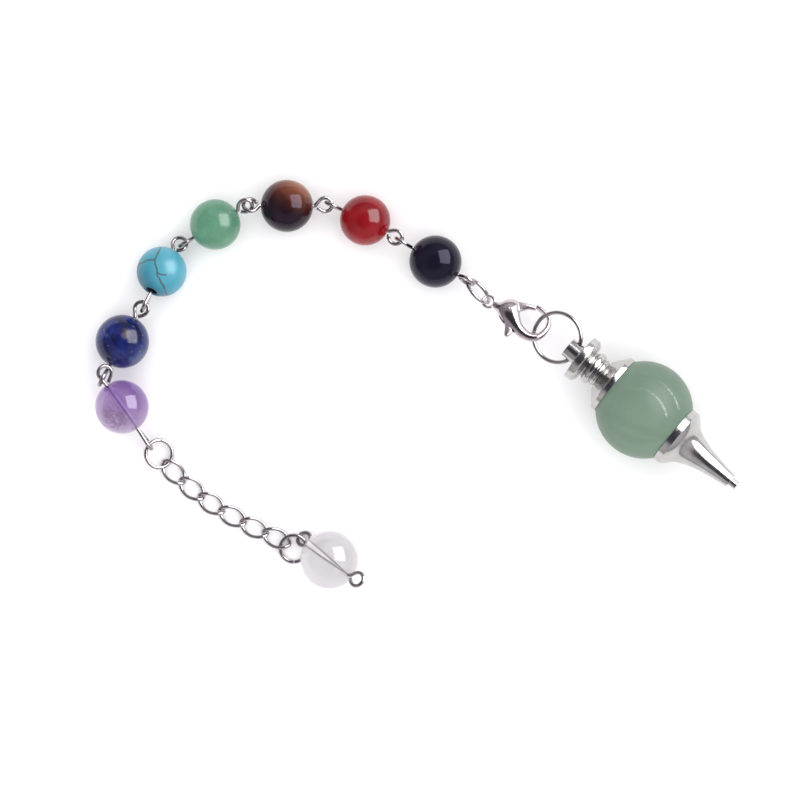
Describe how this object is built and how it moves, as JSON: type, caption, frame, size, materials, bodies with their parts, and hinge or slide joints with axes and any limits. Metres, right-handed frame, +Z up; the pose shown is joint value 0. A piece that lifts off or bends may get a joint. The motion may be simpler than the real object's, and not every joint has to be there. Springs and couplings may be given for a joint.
{
  "type": "pendulum pendant",
  "caption": "Dowsing pendulum with a pale green stone ball between turned metal caps, a spike, a lobster clasp and a looped strand of stone beads and curb links, lying flat.",
  "frame": {"origin": "bottom centre of the box round the pendant as it lies on the table, at the height of the table", "axes": "+X to the right in the picture, along the longest side of the box; +Y away from the viewer, to the top of the picture; +Z up from the table"},
  "size_m": [0.103, 0.0654, 0.0156],
  "materials": {
    "pale green aventurine": "polished, milky pale green",
    "turned plated brass": "polished rhodium plate",
    "steel rod": "plain drawn rod, hidden in the ball",
    "plated clasp": "polished rhodium plate",
    "plated pin wire": "polished rhodium plate",
    "plated ring wire": "polished rhodium plate",
    "black obsidian": "polished, near black",
    "red carnelian": "polished, deep red, translucent",
    "tiger eye": "polished, banded brown and gold",
    "green aventurine": "polished, mottled green",
    "blue howlite": "polished, light blue with brown veins",
    "lapis lazuli": "polished, deep blue with grey patches",
    "amethyst": "polished, zoned purple, translucent",
    "clear quartz": "polished, milky, translucent"
  },
  "bodies": {
    "pendant": {"ball": "pale green aventurine", "upper_cap": "turned plated brass", "lower_cap": "turned plated brass", "ball_rod": "steel rod", "large_ring": "plated ring wire", "clasp_body": "plated clasp", "clasp_rivet": "plated clasp", "clasp_ring": "plated ring wire", "obsidian_bead": "black obsidian", "carnelian_bead": "red carnelian", "tiger_eye_bead": "tiger eye", "aventurine_bead": "green aventurine", "turquoise_bead": "blue howlite", "lapis_bead": "lapis lazuli", "amethyst_bead": "amethyst", "quartz_bead": "clear quartz", "obsidian_pin": "plated pin wire", "carnelian_pin": "plated pin wire", "tiger_eye_pin": "plated pin wire", "aventurine_pin": "plated pin wire", "turquoise_pin": "plated pin wire", "lapis_pin": "plated pin wire", "amethyst_pin": "plated pin wire", "quartz_pin": "plated pin wire", "first_ring": "plated ring wire", "link_1": "plated ring wire", "link_2": "plated ring wire", "link_3": "plated ring wire", "link_4": "plated ring wire", "link_5": "plated ring wire", "link_6": "plated ring wire", "last_ring": "plated ring wire"},
    "lever": {"clasp_lever": "plated clasp"}
  },
  "joints": [
    {"name": "lever_hinge", "type": "hinge", "parent": "pendant", "child": "lever", "pos_m": [0.01465, 0.01182, 0.00425], "axis": [-0.0255, -0.329, -0.944], "range_deg": [0, 25], "stiffness_Nm_per_rad": 0.002}
  ]
}
